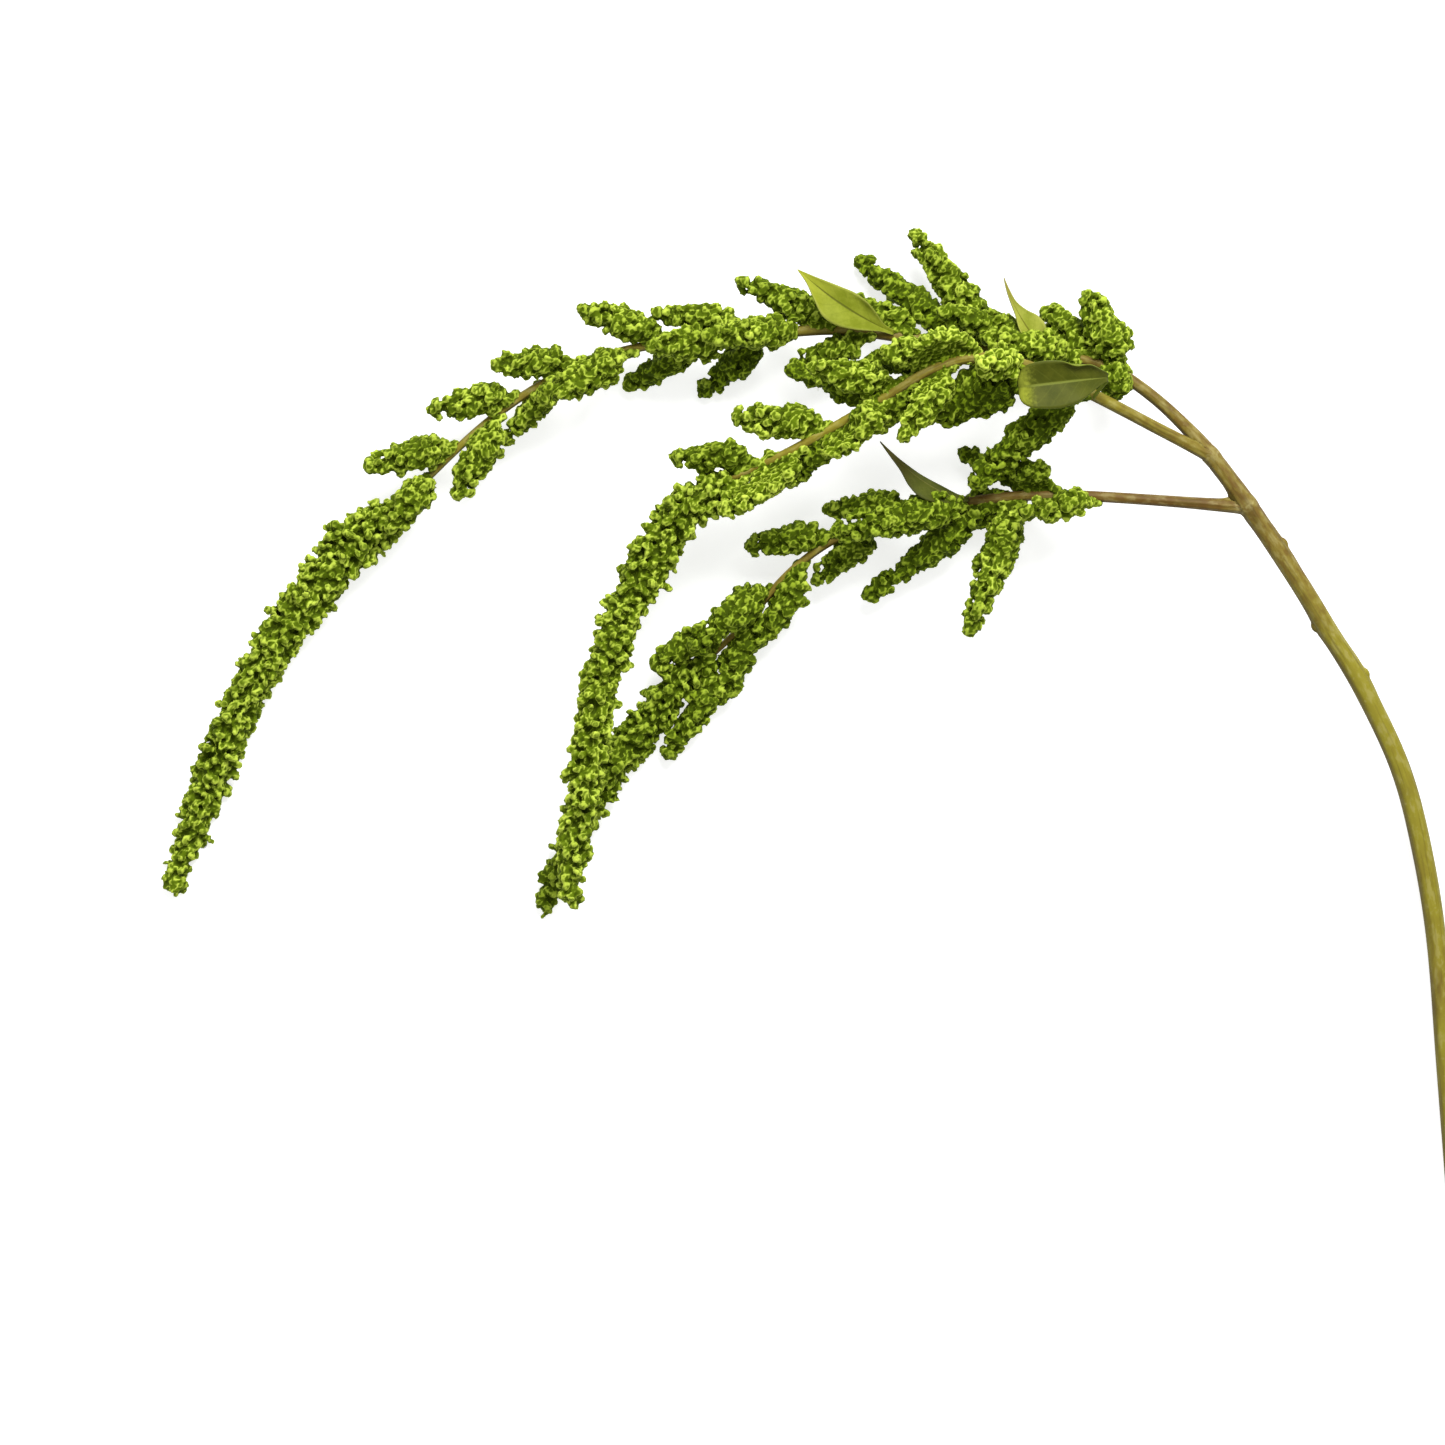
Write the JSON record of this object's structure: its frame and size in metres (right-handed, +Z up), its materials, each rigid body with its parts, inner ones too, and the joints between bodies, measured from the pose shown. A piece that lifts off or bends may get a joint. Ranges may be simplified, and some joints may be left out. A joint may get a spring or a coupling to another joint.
{
  "type": "amaranth seed head",
  "caption": "Cut stem of green hanging amaranth: an arching stalk that branches into drooping seed tassels, with short seed spikes and leaves.",
  "frame": {"origin": "middle of the lying part's plan, on the surface that it lies on", "axes": "+X from the tassel tips' side to the stalk's side, +Y from the cut end to the top of the arch, +Z up, away from the surface"},
  "size_m": [0.4632, 0.377, 0.0628],
  "materials": {
    "stem": "satin",
    "florets": "matte",
    "leaf": "satin"
  },
  "bodies": {
    "root": {"lower_leaf": "leaf", "lower_spike_01": "florets", "lower_spike_02": "florets", "lower_spike_03": "florets", "lower_spike_04": "florets", "lower_spike_05": "florets", "lower_spike_06": "florets", "lower_spike_07": "florets", "lower_spike_08": "florets", "lower_spike_09": "florets", "lower_spike_10": "florets", "lower_spike_11": "florets", "lower_spike_12": "florets", "lower_spike_13": "florets", "lower_spike_14": "florets", "lower_spike_15": "florets", "lower_tassel": "florets", "middle_leaf": "leaf", "middle_spike_01": "florets", "middle_spike_02": "florets", "middle_spike_03": "florets", "middle_spike_04": "florets", "middle_spike_05": "florets", "middle_spike_06": "florets", "middle_spike_07": "florets", "middle_spike_08": "florets", "middle_spike_09": "florets", "middle_spike_10": "florets", "middle_spike_11": "florets", "middle_spike_12": "florets", "middle_spike_13": "florets", "middle_spike_14": "florets", "middle_tassel": "florets", "stem": "stem", "upper_leaf_broad": "leaf", "upper_leaf_narrow": "leaf", "upper_spike_01": "florets", "upper_spike_02": "florets", "upper_spike_03": "florets", "upper_spike_04": "florets", "upper_spike_05": "florets", "upper_spike_06": "florets", "upper_spike_07": "florets", "upper_spike_08": "florets", "upper_spike_09": "florets", "upper_spike_10": "florets", "upper_spike_11": "florets", "upper_spike_12": "florets", "upper_spike_13": "florets", "upper_spike_14": "florets", "upper_spike_15": "florets", "upper_spike_16": "florets", "upper_spike_17": "florets", "upper_spike_18": "florets", "upper_spike_19": "florets", "upper_spike_20": "florets", "upper_spike_21": "florets", "upper_spike_22": "florets", "upper_spike_23": "florets", "upper_tassel": "florets"}
  },
  "joints": []
}
